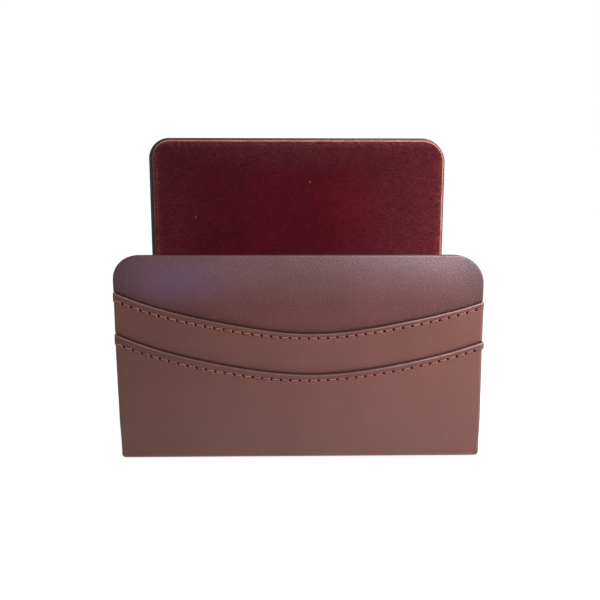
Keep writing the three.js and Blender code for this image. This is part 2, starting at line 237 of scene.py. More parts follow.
# ---- Materials ----
class Shader:
    """A material's node tree, with short calls for the nodes used here."""

    def __init__(self, name):
        self.material = bpy.data.materials.new(name)
        self.material.use_nodes = True
        self.tree = self.material.node_tree
        self.surface = self.tree.nodes["Principled BSDF"]
        self.place = self.node("TexCoord").outputs["Object"]

    def node(self, kind, values=None, **settings):
        made = self.tree.nodes.new("ShaderNode" + kind)
        for key, value in settings.items():
            setattr(made, key, value)
        for key, value in (values or {}).items():
            self.feed(made.inputs[key], value)
        return made

    def feed(self, socket, value):
        if isinstance(value, bpy.types.NodeSocket):
            self.tree.links.new(value, socket)
        elif isinstance(value, tuple) and len(value) == 3 and socket.type == "RGBA":
            socket.default_value = (*value, 1)
        else:
            socket.default_value = value

    def math(self, operation, a, b=0.0, clamp=False):
        return self.node("Math", {0: a, 1: b}, operation=operation, use_clamp=clamp).outputs[0]

    def times(self, a, b):
        return self.math("MULTIPLY", a, b)

    def less(self, a, b):
        return self.math("SUBTRACT", a, b)

    def total(self, a, b, a_share=None, b_share=None):
        """The sum of two values, each of them multiplied by its share first if it has one."""
        if a_share is not None:
            a = self.times(a, a_share)
        if b_share is not None:
            b = self.times(b, b_share)
        return self.math("ADD", a, b)

    def axes(self):
        """x, y and z of the place, in metres."""
        return self.node("SeparateXYZ", {0: self.place}).outputs

    def off_middle(self, value, middle, width):
        """The square of how many widths a value is off the middle."""
        widths = self.math("DIVIDE", self.less(value, middle), width)
        return self.math("POWER", self.math("ABSOLUTE", widths), 2)

    def noise(self, size, detail=4.0, roughness=0.5, distortion=0.0, place=None):
        """Noise whose features are size mm across."""
        values = {"Vector": place or self.place, "Scale": 1 / (size * MM), "Detail": detail}
        values |= {"Roughness": roughness, "Distortion": distortion}
        return self.node("TexNoise", values).outputs["Fac"]

    def cells(self, size, place, feature="F1", **values):
        values |= {"Vector": place, "Scale": 1 / (size * MM)}
        return self.node("TexVoronoi", values, feature=feature)

    def ramp(self, value, low, high, to_low=0.0, to_high=1.0):
        values = {0: value, 1: low, 2: high, 3: to_low, 4: to_high}
        return self.node("MapRange", values, clamp=True).outputs[0]

    def mix(self, amount, a, b, blend="MIX"):
        made = self.node("Mix", data_type="RGBA", blend_type=blend)
        colours = [s for s in made.inputs if s.type == "RGBA"]
        self.feed(made.inputs[0], amount)
        self.feed(colours[0], a)
        self.feed(colours[1], b)
        return [s for s in made.outputs if s.type == "RGBA"][0]

    def mark(self, name):
        return self.node("Attribute", attribute_name=name).outputs["Fac"]

    def warped(self, size, strength):
        """The place, pushed about by noise of the given size, so that a pattern loses its regularity."""
        values = {"Vector": self.place, "Scale": 1 / (size * MM), "Detail": 2.0}
        colour = self.node("TexNoise", values).outputs["Color"]
        centred = self.node("VectorMath", {0: colour, 1: (0.5, 0.5, 0.5)}, operation="SUBTRACT")
        scaled = self.scaled(centred.outputs[0], strength * MM)
        return self.node("VectorMath", {0: self.place, 1: scaled}, operation="ADD").outputs[0]

    def scaled(self, vector, factor):
        return self.node("VectorMath", {0: vector, "Scale": factor}, operation="SCALE").outputs[0]

    def relief(self, height, depth, strength=1.0):
        """Bump of the given depth in mm, where height runs from 0 to 1."""
        values = {"Height": height, "Distance": depth * MM, "Strength": strength}
        return self.node("Bump", values).outputs["Normal"]

    def finish(self, **values):
        for key, value in values.items():
            self.feed(self.surface.inputs[key.replace("_", " ")], value)
        return self.material


def linear(value):
    """The linear value, 0 to 1, of one channel of a screen's colour, 0 to 255."""
    return ((value / 255 + 0.055) / 1.055) ** 2.4 if value > 10 else value / 255 / 12.92


def colour(red, green, blue):
    """A colour given as it shows on a screen, in the linear values that shaders take."""
    return linear(red), linear(green), linear(blue)


def on_front(s):
    """1 on the front panel's face, falling to 0 at its inner side."""
    return s.ramp(s.axes()[1], FRONT_FACE * MM, FRONT_INNER * MM, 1, 0)


SHADE_STARTS = (0.02, 0.12)  # the shade above a mouth comes in and goes out over these heights above it
SHADE_STOPS = (0.4, 0.75)


def mouth_shade(s, mouth):
    """1 on the narrow strip just above a mouth, where the shade of the gap behind it is painted into the
    colour.
    """
    position = s.axes()
    across = s.less(s.math("DIVIDE", position[0], MM), MOUTH_LOW_X)
    along = s.less(s.math("DIVIDE", position[2], MM), mouth.low + MOUTH_RADIUS)
    from_centre = s.math("SQRT", s.total(s.times(across, across), s.times(along, along)))
    wave = s.times(s.math("COSINE", s.times(across, 2 * math.pi / WAVE_LENGTH)), mouth.wave)
    swell = s.total(wave, s.times(across, mouth.tilt))
    above = s.total(s.less(MOUTH_RADIUS, from_centre), swell)
    strip = s.times(s.ramp(above, *SHADE_STARTS), s.ramp(above, *SHADE_STOPS, 1, 0))
    return s.times(strip, on_front(s))


# painted sheen: a blue reflection of the lights painted into the facing's colour
PAINTED_SHEEN_TONE = (148, 140, 162)
PAINTED_SHEEN_HEIGHTS = (72, 92)  # the painted sheen comes in between these heights
PAINTED_SHEEN_PATCHES = (  # where it is strongest: x, z, half width, half height, strength, colour on a screen
    (-56, 82, 22, 9, 0.105, (96, 98, 172)),
    (62, 97, 32, 12, 0.168, PAINTED_SHEEN_TONE),
)


def with_painted_sheen(s, face, blotch, painted_sheen):
    """The face with a blue painted sheen on it, a reflection painted into the colour: more towards the top,
    uneven, and strongest in a few patches.
    """
    position = s.axes()
    x = s.math("DIVIDE", position[0], MM)
    z = s.math("DIVIDE", position[2], MM)
    front = on_front(s)
    uneven = s.ramp(blotch, 0.35, 0.65, 0.8 * painted_sheen, painted_sheen)
    face = s.mix(s.times(s.times(s.ramp(z, *PAINTED_SHEEN_HEIGHTS), uneven), front), face, colour(*PAINTED_SHEEN_TONE))
    for middle_x, middle_z, wide, high, strength, tint in PAINTED_SHEEN_PATCHES:
        squares = s.total(s.off_middle(x, middle_x, wide), s.off_middle(z, middle_z, high))
        patch = s.times(s.math("EXPONENT", s.times(squares, -1)), strength)
        face = s.mix(s.times(patch, front), face, colour(*tint))
    return face


SHADY_SIDES = 14  # painted shade: the facing darkens over this distance from its sides
HEM_TINT = (0.8, 0.84, 0.93)
# painted shade: the dark, cool tone over the panels' edges
RIM_SHADE_TONE = (54, 50, 66)
# painted shade: the colour of the shaded gap just above a mouth
MOUTH_SHADE_TONE = (34, 12, 18)
# painted shade: the colour down in the needle holes
NEEDLE_HOLE_SHADE = (6, 2, 3)


def leather(
    name, deep, light, worn_and_highlit, painted_sheen, grain, grain_depth, roughness, gloss, creasing, glint_specks, side_shade, mouth
):
    """Grained leather: cells of the size grain with creases between them, fine pores and broad mottling.

    It runs from deep to light, with light specks at the pores, painted glints of the grain. Where its mark
    says,
    it is lighter and smoother: a little scuffed, and with painted highlights on its folded and rounded edges.
    It is darker and cooler with painted shade over the panels' edges, cooler on the "hem", dark with painted
    shade in the needle holes and on the strip just above the given mouth, and darker with painted shade
    towards its sides. It can have a faint blue painted sheen towards the top, a reflection painted into the
    colour.
    """
    s = Shader(name)
    pebbles = s.cells(grain, s.warped(grain * 2.5, grain * 0.9), feature="SMOOTH_F1", Smoothness=0.3)
    creases = s.ramp(pebbles.outputs["Distance"], 0.25, 0.7)
    pores = s.noise(grain * 0.32, detail=3.0, roughness=0.6)
    mottle = s.noise(16, detail=5.0, roughness=0.55)
    blotch = s.noise(45, detail=2.0)
    base = s.mix(s.ramp(s.total(mottle, blotch, 0.6, 0.4), 0.3, 0.7), deep, light)
    # light specks at the pores: painted glints of the grain
    lit = s.mix(s.times(s.ramp(pores, 0.5, 0.75), glint_specks), base, worn_and_highlit)
    face = s.mix(s.times(creases, creasing), lit, deep, blend="MULTIPLY")
    # painted sheen: a blue reflection painted in towards the top
    if painted_sheen:
        face = with_painted_sheen(s, face, blotch, painted_sheen)
    across = s.math("ABSOLUTE", s.axes()[0])
    # painted shade: darker towards the sides
    face = s.mix(s.ramp(across, (HALF - SHADY_SIDES) * MM, HALF * MM, 0, side_shade), face, (0.0, 0.0, 0.0))
    face = s.mix(s.mark("hem"), face, HEM_TINT, blend="MULTIPLY")
    # a little scuffing, and painted highlights on the folded and rounded edges, where the mark says
    rub_and_highlight = s.times(s.mark("wear_and_highlight"), s.ramp(s.noise(4, detail=3.0), 0.3, 0.6, 0.6, 1))
    face = s.mix(s.math("MULTIPLY", rub_and_highlight, 0.55, clamp=True), face, worn_and_highlit)
    # painted shade over the panels' edges
    face = s.mix(s.times(s.mark("rim"), 0.75), face, colour(*RIM_SHADE_TONE))
    # painted shade on the strip just above the mouth
    face = s.mix(s.times(mouth_shade(s, mouth), 0.8), face, colour(*MOUTH_SHADE_TONE))
    # painted shade in the needle holes, where the colour goes nearly black
    hole = s.ramp(s.mark("hole"), 0.12, 0.4)
    rough = s.total(s.ramp(creases, 0, 1, roughness - 0.04, roughness + 0.12), s.times(hole, 0.5))
    return s.finish(
        Base_Color=s.mix(hole, face, colour(*NEEDLE_HOLE_SHADE)),
        Roughness=s.less(rough, s.times(rub_and_highlight, 0.08)),
        Specular_IOR_Level=s.times(s.less(1, hole), gloss),
        Normal=s.relief(s.less(s.times(pores, 0.35), s.times(creases, 0.65)), grain_depth),
    )


PILE_FADES = (95, 142)  # painted shade: the velvet gets darker between these heights
PILE_TONES = (1.15, 0.82)  # what its colours are multiplied by there


def velvet(name):
    """Short velvet pile: deep burgundy with a fine weave showing through, brushed patches, a few specks of
    lint, frayed at the "border", lighter and greyer near the top and the sides, a painted sheen on the pile."""
    s = Shader(name)
    brushed = s.node("Mapping", {"Vector": s.warped(7, 6), "Scale": (1, 1, 0.75)}).outputs[0]
    strokes = s.noise(6, detail=6.0, roughness=0.66, place=brushed)
    patches = s.noise(38, detail=3.0)
    rows = s.node("Mapping", {"Vector": s.warped(2, 0.6), "Scale": (0.55, 1, 1.25)}).outputs[0]
    weave = s.noise(0.9, detail=3.0, roughness=0.62, place=rows)
    pile = s.noise(0.45, detail=2.0, roughness=0.7)
    lie = s.ramp(s.total(strokes, patches, 0.5, 0.5), 0.36, 0.64)
    face = s.mix(lie, colour(60, 3, 15), colour(75, 5, 22))
    # painted sheen: lighter, greyer pile near the top and the sides
    sheened = s.times(s.mark("sheen_haze"), s.ramp(weave, 0.3, 0.7, 0.75, 1))
    face = s.mix(s.times(sheened, 0.4), face, colour(92, 50, 58))
    fringe = s.times(s.mark("border"), s.ramp(s.noise(1.8, detail=4.0), 0.4, 0.62, 0.1, 0.6))
    face = s.mix(fringe, face, colour(112, 54, 52))
    grain = s.total(pile, weave, 0.5, 0.5)
    tufts = s.mix(s.ramp(grain, 0.36, 0.64), (0.35, 0.35, 0.35), (1.55, 1.55, 1.55))
    face = s.mix(0.8, face, tufts, blend="MULTIPLY")
    # painted shade: darker towards the top
    fading = s.ramp(s.axes()[2], PILE_FADES[0] * MM, PILE_FADES[1] * MM, *PILE_TONES)
    face = s.scaled(face, fading)
    lint = s.cells(8, s.warped(3, 2))
    near = s.ramp(lint.outputs["Distance"], 0.025, 0.04, 1, 0)
    few = s.ramp(s.node("SeparateColor", {0: lint.outputs["Color"]}).outputs[0], 0.6, 0.62)
    specks = s.times(s.times(near, few), 0.6)
    return s.finish(
        Base_Color=s.mix(specks, face, colour(160, 105, 105)),
        Roughness=0.95,
        Specular_IOR_Level=0.08,
        Sheen_Weight=0.38,
        Sheen_Roughness=0.45,
        Sheen_Tint=(0.95, 0.5, 0.64),
        Normal=s.relief(s.total(grain, strokes, 0.7, 0.3), 0.35, 0.8),
    )


def raw_card(name, deep, light):
    """The raw edge and face of card: matted fibres, dusty and dull."""
    s = Shader(name)
    fibres = s.noise(0.5, detail=6.0, roughness=0.7)
    stains = s.noise(12, detail=3.0)
    return s.finish(
        Base_Color=s.mix(s.ramp(s.total(fibres, stains, 0.6, 0.4), 0.38, 0.62), deep, light),
        Roughness=0.85,
        Specular_IOR_Level=0.25,
        Normal=s.relief(fibres, 0.08),
    )


def felt(name):
    """Pressed felt: matted fibres in clumps."""
    s = Shader(name)
    fibres = s.noise(0.35, detail=6.0, roughness=0.75, distortion=1.5)
    clumps = s.noise(3, detail=4.0)
    lit = s.times(s.ramp(fibres, 0.35, 0.65), 0.7)
    return s.finish(
        Base_Color=s.mix(lit, colour(28, 20, 21), colour(66, 50, 50)),
        Roughness=0.98,
        Specular_IOR_Level=0.1,
        Sheen_Weight=0.5,
        Normal=s.relief(s.total(fibres, clumps, 0.7, 0.3), 0.3),
    )


def sewing_thread(name):
    """Waxed twisted thread: fine fibres along the plies, a little dirt, and painted shade down in the needle
    holes.
    """
    s = Shader(name)
    fibres = s.noise(0.12, detail=3.0, roughness=0.6)
    patches = s.noise(6, detail=2.0)
    tone = s.ramp(s.total(fibres, patches, 0.5, 0.5), 0.36, 0.64)
    base = s.mix(tone, colour(140, 62, 46), colour(198, 100, 76))
    return s.finish(
        # painted shade where the thread goes down into a hole
        Base_Color=s.mix(s.ramp(s.mark("hole"), 0.1, 0.7), base, colour(20, 6, 6)),
        Roughness=0.55,
        Specular_IOR_Level=0.4,
        Sheen_Weight=0.25,
        Normal=s.relief(fibres, 0.04),
    )


facing_leather = leather(
    "facing_leather", deep=colour(79, 39, 38), light=colour(92, 47, 46), worn_and_highlit=colour(165, 122, 122),
    painted_sheen=0.12, grain=0.58, grain_depth=0.12, roughness=0.36, gloss=0.42,
    creasing=0.25, glint_specks=0.14, side_shade=0.3, mouth=upper,
)
pocket_leather = leather(
    "pocket_leather", deep=colour(90, 51, 43), light=colour(98, 57, 48), worn_and_highlit=colour(198, 170, 174),
    painted_sheen=0, grain=0.6, grain_depth=0.006, roughness=0.42, gloss=0.5,
    creasing=0.05, glint_specks=0, side_shade=0, mouth=lower,
)
velvet_cloth = velvet("burgundy_velvet")
lining_card = raw_card("lining_card", colour(134, 78, 66), colour(192, 126, 106))
grey_board = raw_card("grey_board", colour(120, 112, 100), colour(170, 160, 145))
felt_cloth = felt("pad_felt")
stitch_thread = sewing_thread("stitch_thread")


# ---- Panels: leather skins and linings with rounded top corners ----
CORNER_COLUMNS = 8
CORNER_ROWS = 9


def face_grid(half, low, high, left, right, step, extra_rows=()):
    """Points across a panel's face as rows of (u, v), from the bottom up, with the top corners rounded, and
    for each of them the direction outwards that counts if it is on the border."""
    corner = max(left, right)
    across = max(1, round((2 * half - left - right) / step))
    columns = spread(-half, left - half, CORNER_COLUMNS)[:-1] + spread(left - half, half - right, across)[:-1]
    columns += spread(half - right, half, CORNER_COLUMNS)
    stops = [low, *sorted(extra_rows), high - corner, high]
    rows = []
    for a, b in zip(stops, stops[1:]):
        count = CORNER_ROWS if b == high else max(1, math.ceil((b - a) / step))
        rows += spread(a, b, count)[:-1]
    rows.append(high)
    points = []
    outward = []
    for v in rows:
        for u in columns:
            radius, side = (left, -1) if u < 0 else (right, 1)
            a = (side * u - (half - radius)) / radius
            b = (v - (high - radius)) / radius
            if a > 0 and b > 0:
                a, b = a * math.sqrt(1 - b * b / 2), b * math.sqrt(1 - a * a / 2)
                points.append((side * (half - radius + a * radius), high - radius + b * radius))
                outward.append(Vector((side * a, b)).normalized())
            else:
                points.append((u, v))
                outward.append(Vector((0, 1)) if b > 0.999 else Vector((side, 0)))
    return points, outward, len(rows), len(columns)


def border_path(rows, columns):
    """A grid's border points: up the left side, along the top and down the right side."""
    path = [r * columns for r in range(rows)]
    path += [(rows - 1) * columns + c for c in range(1, columns)]
    return path + [r * columns + columns - 1 for r in range(rows - 2, -1, -1)]


EDGE = 1.6  # the flat faces' points stop this far inside a panel's outline
TIGHTEST = 0.05  # the smallest radius of the leather's inner side


TURN_IN = 7  # how far the leather runs in along a panel's rear face


def edge_profile(front, rear, under):
    """The section of a panel's leather over its edge, as points (outward, depth, into the edge from 0 to 1).

    It starts at the border of the flat face, goes round the front edge with the radius front, across the
    panel's thickness, round the rear edge with the radius rear, and in along the rear face. under is how
    deep in the leather it lies.
    """
    outline = EDGE - under
    back = PANEL - under
    front = max(front - under, TIGHTEST)
    rear = max(rear - under, TIGHTEST)
    points = [(0.0, under, 0.0)]
    for angle in spread(0, math.pi / 2, 6):
        out = outline - front * (1 - math.sin(angle))
        points.append((out, under + front * (1 - math.cos(angle)), math.sin(angle)))
    points.append((outline, PANEL / 2, 1.0))
    for angle in spread(0, math.pi / 2, 5):
        points.append((outline - rear * (1 - math.cos(angle)), back - rear * (1 - math.sin(angle)), 1.0))
    for inwards in (0.5, 1):
        points.append((outline - rear - TURN_IN * inwards, back, 1.0))
    return points


def panel_edge(grid, profile, starts, lead):
    """The strip of a section run round a panel's border, as points (u, v, depth), its faces, and how far
    each point is into the edge.

    The faces' indices start after the grid's points, but for the strip's first row, which is the grid's own
    border. starts gives the heights where the strip starts on the left and stops on the right; lead gives
    places below the grid that it also covers.
    """
    points, outward, rows, columns = grid
    half = points[columns - 1][0]
    left_lead = [((-half, v), Vector((-1, 0)), None) for v in lead]
    right_lead = [((half, v), Vector((1, 0)), None) for v in reversed(lead)]
    steps = []
    for i in border_path(rows, columns):
        start = starts[0] if points[i][0] < 0 else starts[1]
        if points[i][1] >= start - CLOSE:
            steps.append((points[i], outward[i], i))
    steps = left_lead + steps + right_lead
    strip = []
    bends = []
    for out, depth, bend in profile:
        for (u, v), direction, _ in steps:
            strip.append((u + direction.x * out, v + direction.y * out, depth))
            bends.append(bend)
    index = [len(points) + j for j in range(len(strip))]
    for j, (_, _, shared) in enumerate(steps):
        if shared is not None:
            index[j] = shared
    faces = [tuple(index[j] for j in face) for face in grid_faces(len(profile), len(steps))]
    return strip, faces, bends


SETTLE = 0.05  # unevenness of the leather's lie on the panels
EVERYWHERE = (-1e9, -1e9)


def panel_skin(place, corners, low, high, bends, step, starts=EVERYWHERE, lead=(), extra_rows=()):
    """Leather over a panel and round its edges onto the rear face.

    place turns (u, v, depth) into x, y, z. bends are the radii of its front and rear edges. starts and lead
    are as for panel_edge.
    """
    left, right = corners
    grid = face_grid(HALF - EDGE, low, high - EDGE, left - EDGE, right - EDGE, step, extra_rows)
    points, _, rows, columns = grid
    surfaces = []
    for thick in (0.0, LEATHER):
        strip, strip_faces, into_edge = panel_edge(grid, edge_profile(*bends, thick), starts, lead)
        surfaces.append([(u, v, thick) for u, v in points] + strip)
    faces = grid_faces(rows, columns) + strip_faces
    flat = [0.0] * len(points)
    outer = []
    for (u, v, depth), bend in zip(surfaces[0], flat + into_edge):
        settle = SETTLE * wobble(u, v, 3, 14) + 0.6 * SETTLE * wobble(u, v, 9, 5)
        outer.append(place(u, v, depth + settle * (0.3 if bend or depth > 0 else 1)))
    inner = [place(*point) for point in surfaces[1]]
    # slightly lighter across the edge's rounding: a little scuffing, and a painted highlight
    wear_and_highlight = [0.2 * math.sin(math.pi * bend) for bend in into_edge]
    # painted shade over the outer half of the edge's rounding and the turn-in at the rear
    rim = [smoothstep(bend, 0.5, 1) for bend in into_edge]
    return skin(outer, inner, faces, {"wear_and_highlight": flat + wear_and_highlight, "rim": flat + rim})


FRONT_SPREAD = 0.42  # above the pockets the front panel is wider than CAD's by this much on each side
FRONT_TUCK = -0.6  # below them its side folds are tucked in under the pockets' leather
FRONT_SHIFT = -0.2
LEAN = 0.65  # the holder's foot stands this far to the right of its upper part
LEAN_HEIGHT = 50


def lean(z):
    return LEAN * max(0.0, 1 - z / LEAN_HEIGHT)


PILLOW = 0.5  # how far the front panel's face curves back towards its top edge
PILLOW_HEIGHT = 10
TOP_SINKS = 0.2  # how far its top edge is lowered
SHOWS_FROM = (-0.9, 0.4)  # heights round the upper mouth between which the front panel gets its full width
THINNER_BELOW = 0.94  # its thickness below that, as a share of the CAD's


def front_place(u, v, depth):
    """The front panel, a little wider above the pockets, where its own leather folds over the sides."""
    mouth = upper.below(math.copysign(HALF, u), 0)
    clear = smoothstep(v, mouth + SHOWS_FROM[0], mouth + SHOWS_FROM[1])
    spread_by = lerp(FRONT_TUCK, FRONT_SPREAD, clear)
    near_top = max(0.0, min(1.0, (v - FRONT_TOP + PILLOW_HEIGHT) / PILLOW_HEIGHT))
    back = PILLOW * near_top * near_top * (1 - depth / PANEL)
    sunk = depth * lerp(THINNER_BELOW, 1, clear) + back
    x = u * (1 + spread_by / HALF) + FRONT_SHIFT * clear + lean(v)
    return x, FRONT_FACE + sunk, v - TOP_SINKS * near_top


BEND_LEG = 2.0  # the body leather's bend at the back of the base starts this far before the inner corner
BEND_LENGTH = 12.0  # nominal length of that bend
OUTER_BEND = 1.8
INNER_BEND = 0.3
BEND_HIGH = BASE_TOP + BEND_LEG
BEND_LOW = BEND_HIGH - BEND_LENGTH


def corner_point(corner, leg, radius, t):
    """A point on a path that comes along +Y, turns a rounded corner and goes up. t runs from 0 to 1."""
    straight = leg - radius
    arc = radius * math.pi / 2
    along = t * (2 * straight + arc)
    y, z = corner
    if along < straight:
        return y - leg + along, z
    if along > straight + arc:
        return y, z + radius + along - straight - arc
    angle = (along - straight) / radius
    return y - radius + radius * math.sin(angle), z + radius - radius * math.cos(angle)


def body_place(u, v, depth):
    """The body leather: along the underside of the base, round the bottom of the back panel and up it."""
    if v >= BEND_HIGH:
        return u + lean(v), BACK_FACE - depth, v
    if v <= BEND_LOW:
        return u + LEAN, BACK_INNER - BEND_LEG + v - BEND_LOW, UNDERSIDE + depth
    t = (v - BEND_LOW) / BEND_LENGTH
    out = corner_point((BACK_FACE, UNDERSIDE), PANEL + BEND_LEG, OUTER_BEND, t)
    into = corner_point((BACK_INNER, BASE_TOP), BEND_LEG, INNER_BEND, t)
    share = depth / PANEL
    height = lerp(out[1], into[1], share)
    return u + lean(height - UNDERSIDE), lerp(out[0], into[0], share), height


def body_v(y):
    """Where a place on the base lies along the body leather."""
    return BEND_LOW + y - (BACK_INNER - BEND_LEG)


ROWS_AT_START = (0, 0.4, 0.8, 1.25, 1.7)  # heights of the close rows where the front panel's side folds start


def build_front_facing():
    starts = [upper.below(-HALF, 1.3), upper.below(HALF, 1.3)]
    rows = [start + step for start in starts for step in ROWS_AT_START]
    shape = panel_skin(
        front_place, FRONT_CORNERS, FRONT_FOOT, FRONT_TOP,
        bends=(0.75, 0.9), step=1.8, starts=starts, extra_rows=rows,
    )
    make_piece("front_facing_leather", "front_facing", shape, facing_leather)


SIDE_OVERLAP = 1.35  # how far the body leather's side folds reach in front of the front panel's inner face


def build_body_cover():
    side_start = body_v(FRONT_INNER - SIDE_OVERLAP)
    sheet_start = body_v(lower_high[1] + BUTT)
    lead = spread(side_start, sheet_start, 6)[:-1]
    bend_rows = spread(BEND_LOW, BEND_HIGH, 22)
    shape = panel_skin(
        body_place, BACK_CORNERS, sheet_start, BACK_TOP,
        bends=(1.4, 1.0), step=2.4, lead=lead, extra_rows=bend_rows,
    )
    make_piece("body_cover_leather", "body_cover", shape, facing_leather)


BORDER = (0.3, 4.2)  # the velvet is frayed at its outline; over these distances from it that fades out


def near_outline(u, v, half, high):
    """1 at the sides and top of a panel's outline, falling to 0 inside it."""
    return 1 - smoothstep(min(half - abs(u), high - v), *BORDER)


def sheen_share(u, v, half, high):
    """How much painted sheen the velvet gets: most near the top and the right, a little towards the left."""
    top = 1 - smoothstep(high - v, 0, 22)
    return 0.8 * max(0.8 * top, 0.8 * smoothstep(u, 10, half), 0.7 * smoothstep(-u, 45, half))


@dataclass
class Layer:
    """What a lining layer or pad is made of, and how."""

    material: bpy.types.Material
    slot: str
    edge: float  # radius of its soft edge
    bumpy: float = 0.0  # unevenness of its face
    ragged: float = 0.0  # unevenness of its outline
    step: float = 1.8  # distance between its points


def build_slab(node, name, place, size, depth, corners, layer):
    """A layer as a slab with soft edges. size is (half width, low, high) of its outline, and corners are its
    top corners' radii. place turns (u, v, depth) into x, y, z."""
    half, low, high = size
    edge = layer.edge
    radii = [max(corner, edge + 0.6) - edge for corner in corners]
    grid = face_grid(half - edge, low + edge, high - edge, *radii, layer.step)
    points, outward, rows, columns = grid
    profile = [(edge * math.sin(a), edge - edge * math.cos(a)) for a in spread(0, math.pi / 2, 5)]
    profile.append((edge, depth))
    path = [(i, outward[i]) for i in border_path(rows, columns)]
    path += [(c, Vector((0, -1))) for c in range(columns - 2, 0, -1)]
    flat = [(u, v, 0.0) for u, v in points]
    ring = len(path)
    faces = grid_faces(rows, columns)
    for out, deep in profile:
        for i, direction in path:
            u, v = points[i]
            uneven = layer.ragged * (0.6 * wobble(u, v, 2, 9) + 0.4 * wobble(u, v, 6, 2.1))
            reach = out + uneven * (out / edge)
            flat.append((u + direction.x * reach, v + direction.y * reach, deep))
    start = len(points)
    for j in range(len(profile) - 1):
        for k in range(ring):
            a = start + j * ring + k
            b = start + j * ring + (k + 1) % ring
            faces.append((a, a + ring, b + ring, b))
    rear = len(flat)
    flat += [(u, v, depth) for u, v in points]
    faces += [tuple(rear + i for i in reversed(face)) for face in grid_faces(rows, columns)]
    last = start + (len(profile) - 1) * ring
    for j, (i, _) in enumerate(path):
        k = path[(j + 1) % ring][0]
        faces.append((last + j, rear + i, rear + k, last + (j + 1) % ring))
    placed = []
    for u, v, deep in flat:
        top = 1 - smoothstep(deep, 0, depth)
        ripple = layer.bumpy * (0.6 * wobble(u, v, 5, 11) + 0.4 * wobble(u, v, 8, 3.5))
        placed.append(place(u, v, deep - top * ripple))
    border = [near_outline(u, v, half, high) for u, v, _ in flat]
    # painted sheen share of each point, read by the velvet
    sheen_haze = [sheen_share(u, v, half, high) for u, v, _ in flat]
    shape = placed, faces, {"border": border, "sheen_haze": sheen_haze}
    make_piece(name, node, shape, layer.material)


def build_lining(kind, layer, inset, trim, aside, lowered):
    """One layer on the three inner faces.

    Its corners' radii are smaller than the leather's by inset, and it is narrower than the CAD's by trim on
    each side. On the panels it sits a little to the right and lowered, as it was glued.
    """
    for panel, corners in (("back", BACK_CORNERS), ("front", FRONT_CORNERS)):
        node = f"{panel}_{kind}"
        low, high = box_mm(node)
        y, inwards = (low[1], 1) if panel == "back" else (high[1], -1)
        build_slab(
            node, node + "_layer", lambda u, v, d: (u + aside, y + inwards * d, v),
            (high[0] - trim, low[2], high[2] - lowered), high[1] - low[1],
            [corner - inset for corner in corners], layer,
        )
    node = "base_" + kind
    low, high = box_mm(node)
    build_slab(
        node, node + "_layer", lambda u, v, d: (u, v, high[2] - d),
        (high[0], low[1], high[1]), high[2] - low[2], (1, 1), replace(layer, ragged=0.0),
    )


def build_linings():
    card = Layer(lining_card, "lining_card", edge=0.18, bumpy=0.03, ragged=0.12)
    build_lining("lining_card", card, inset=1.65, trim=0.5, aside=0.68, lowered=0.15)
    cloth = Layer(velvet_cloth, "velvet", edge=0.42, bumpy=0.1, ragged=0.14)
    build_lining("velvet", cloth, inset=2.35, trim=0.4, aside=0.55, lowered=0.2)


def build_pad():
    low, high = box_mm("base_pad")
    pad = Layer(felt_cloth, "felt", edge=0.3, ragged=0.1, step=3)
    build_slab(
        "base_pad", "base_pad_felt", lambda u, v, d: (u, v, low[2] + d),
        (high[0], low[1], high[1]), high[2] - low[2], (3, 3), pad,
    )


# ---- Pockets ----
FOOT_FLARE = 0.35  # the leather stands out a little at the foot
FOOT_FLARE_HEIGHT = 14


def section(pocket, q, z):
    """A point on a pocket's inner side, and the direction its thickness goes. q is the distance from the
    middle, along the front, round the side edge and in along the inner face."""
    side = -1 if q < 0 else 1
    wider = pocket.wider + FOOT_FLARE * max(0.0, 1 - z / FOOT_FLARE_HEIGHT)
    shift = Vector((lean(z) + wider * max(-1, min(1, q / HALF)), 0))
    if abs(q) <= BEND_X:
        return Vector((q, FRONT_FACE - pocket.stand_off(q, z))) + shift, Vector((0, -1))
    front = FRONT_FACE - pocket.stand_off(side * BEND_X, z) + POCKET_BEND
    rear = FRONT_INNER - LEATHER - GLUE - POCKET_BEND
    past_front = abs(q) - BEND_X
    past_side = past_front - BEND_ARC - SIDE_RUN
    turned = min(past_front, BEND_ARC) + max(0, min(past_side, BEND_ARC))
    angle = turned / BEND_ARC * math.pi / 2
    out = Vector((side * math.sin(angle), -math.cos(angle)))
    y = lerp(front, rear, max(0, min(1, (past_front - BEND_ARC) / SIDE_RUN)))
    x = side * (BEND_X - max(0, past_side - BEND_ARC))
    return Vector((x, y)) + out * POCKET_BEND + shift, out


SIDE_START = BEND_X + BEND_ARC
REAR_START = SIDE_START + SIDE_RUN
REAR_FLAT = REAR_START + BEND_ARC


def seam_holes():
    """Places of the needle holes along the front, evenly spaced along the seam."""
    swing = STITCH_PITCH / HOLE_CIRCLE
    angles = [SEAM_SWING + (i - STITCHES / 2) * swing for i in range(STITCHES + 1)]
    return [MOUTH_LOW_X + HOLE_CIRCLE * math.sin(angle) for angle in angles]


HOLES = seam_holes()
OPEN_HOLES = HOLES[1:-1]  # the outermost ones are out of sight, round the bends
BETWEEN_HOLES = (0, 0.045, 0.09, 0.14, 0.21, 0.33, 0.5, 0.67, 0.79, 0.86, 0.91, 0.955)  # shares of a stitch
CROWDED = 0.15  # columns of the bends that come closer than this to another one are left out
REAR_RUN = 8  # how far the leather runs in along the panel's inner face


